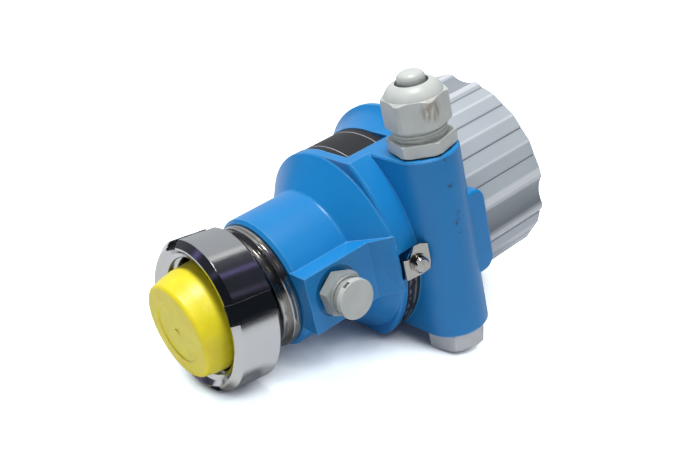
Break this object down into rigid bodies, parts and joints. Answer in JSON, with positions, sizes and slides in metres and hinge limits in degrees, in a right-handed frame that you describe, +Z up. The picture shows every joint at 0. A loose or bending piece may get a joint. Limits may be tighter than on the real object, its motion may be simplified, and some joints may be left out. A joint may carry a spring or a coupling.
{
  "type": "pressure transmitter",
  "caption": "Hygienic pressure transmitter: cast blue housing with screw cover and cross tube, cable gland, vent plug, and stainless sensor with slotted union nut under a push-on cap.",
  "frame": {"origin": "centre of the base of the bounding box: the instrument lies on the floor, on its union nut, its flange and its blind plug", "axes": "+Z up; +X from the process end towards the screw cover; -Y is the side of the vent plug and the cross tube; the cable gland points up"},
  "size_m": [0.1718, 0.105, 0.1217],
  "materials": {
    "blue_coat": "semi-gloss powder coat",
    "grey_coat": "semi-gloss powder coat",
    "black_rubber": "matt",
    "stainless": "turned",
    "polished_stainless": "polished",
    "circuit_board": "solder resist",
    "yellow_plastic": "moulded polyethylene",
    "grey_nylon": "moulded nylon",
    "plug_grey": "moulded nylon",
    "vent_plastic": "moulded nylon",
    "membrane": "felt",
    "module_black": "moulded",
    "terminal_green": "moulded",
    "ribbon_grey": "flat cable",
    "label_dark": "printed film"
  },
  "bodies": {
    "housing": {"housing": "blue_coat", "gland_body": "grey_nylon", "gland_gasket": "black_rubber", "blind_plug": "plug_grey", "blind_plug_gasket": "black_rubber", "vent_body": "vent_plastic", "vent_cap": "vent_plastic", "vent_membrane": "membrane", "vent_seal": "black_rubber", "ground_clamp": "stainless", "ground_washer": "stainless", "ground_screw": "stainless", "electronics_module": "module_black", "terminal_block": "terminal_green", "terminal_screws": "stainless", "module_screws": "stainless", "ribbon_cable": "ribbon_grey", "housing_set_screw": "stainless", "type_label": "label_dark", "rating_label": "label_dark"},
    "sensor": {"sensor_body": "stainless", "sensor_diaphragm": "stainless", "neck_seal": "black_rubber", "sensor_board": "circuit_board"},
    "union_nut": {"slotted_nut": "polished_stainless"},
    "cap": {"protective_cap": "yellow_plastic"},
    "cover_ring": {"cover_seal": "black_rubber"},
    "cover": {"screw_cover": "grey_coat"},
    "gland_seal": {"gland_seal_insert": "black_rubber"},
    "gland_nut": {"gland_cap_nut": "grey_nylon"},
    "stopper": {"gland_stopper": "grey_nylon"}
  },
  "joints": [
    {"name": "sensor_turn", "type": "hinge", "parent": "housing", "child": "sensor", "pos_m": [-0.04237, 0.00573, 0.03476], "axis": [0.9888, 0, 0.1493], "range_deg": [-140, 140]},
    {"name": "union_nut_spin", "type": "hinge", "parent": "sensor", "child": "union_nut", "pos_m": [-0.07246, 0.00594, 0.0315], "axis": [0.9997, -0.0248, 0], "continuous": true},
    {"name": "cap_pull", "type": "slide", "parent": "sensor", "child": "cap", "axis": [-0.9888, 0, -0.1493], "range_m": [0, 0.022]},
    {"name": "cover_lift", "type": "slide", "parent": "housing", "child": "cover_ring", "axis": [0.9888, 0, 0.1493], "range_m": [0, 0.01]},
    {"name": "cover_turn", "type": "hinge", "parent": "cover_ring", "child": "cover", "pos_m": [0.05651, 0.00573, 0.04969], "axis": [0.9888, 0, 0.1493], "range_deg": [0, 1800]},
    {"name": "gland_nut_lift", "type": "slide", "parent": "housing", "child": "gland_seal", "axis": [-0.1472, 0.164, 0.9754], "range_m": [0, 0.0045]},
    {"name": "gland_nut_turn", "type": "hinge", "parent": "gland_seal", "child": "gland_nut", "pos_m": [0.01223, -0.0221, 0.1092], "axis": [-0.1472, 0.164, 0.9754], "range_deg": [0, 1080]},
    {"name": "stopper_pull", "type": "slide", "parent": "gland_seal", "child": "stopper", "axis": [-0.1472, 0.164, 0.9754], "range_m": [0, 0.021]}
  ],
  "couplings": [
    {"joint": "cover_lift", "follows": "cover_turn", "m_per_rad": 0.00031831},
    {"joint": "gland_nut_turn", "follows": "gland_nut_lift", "rad_per_m": 4188.7}
  ]
}
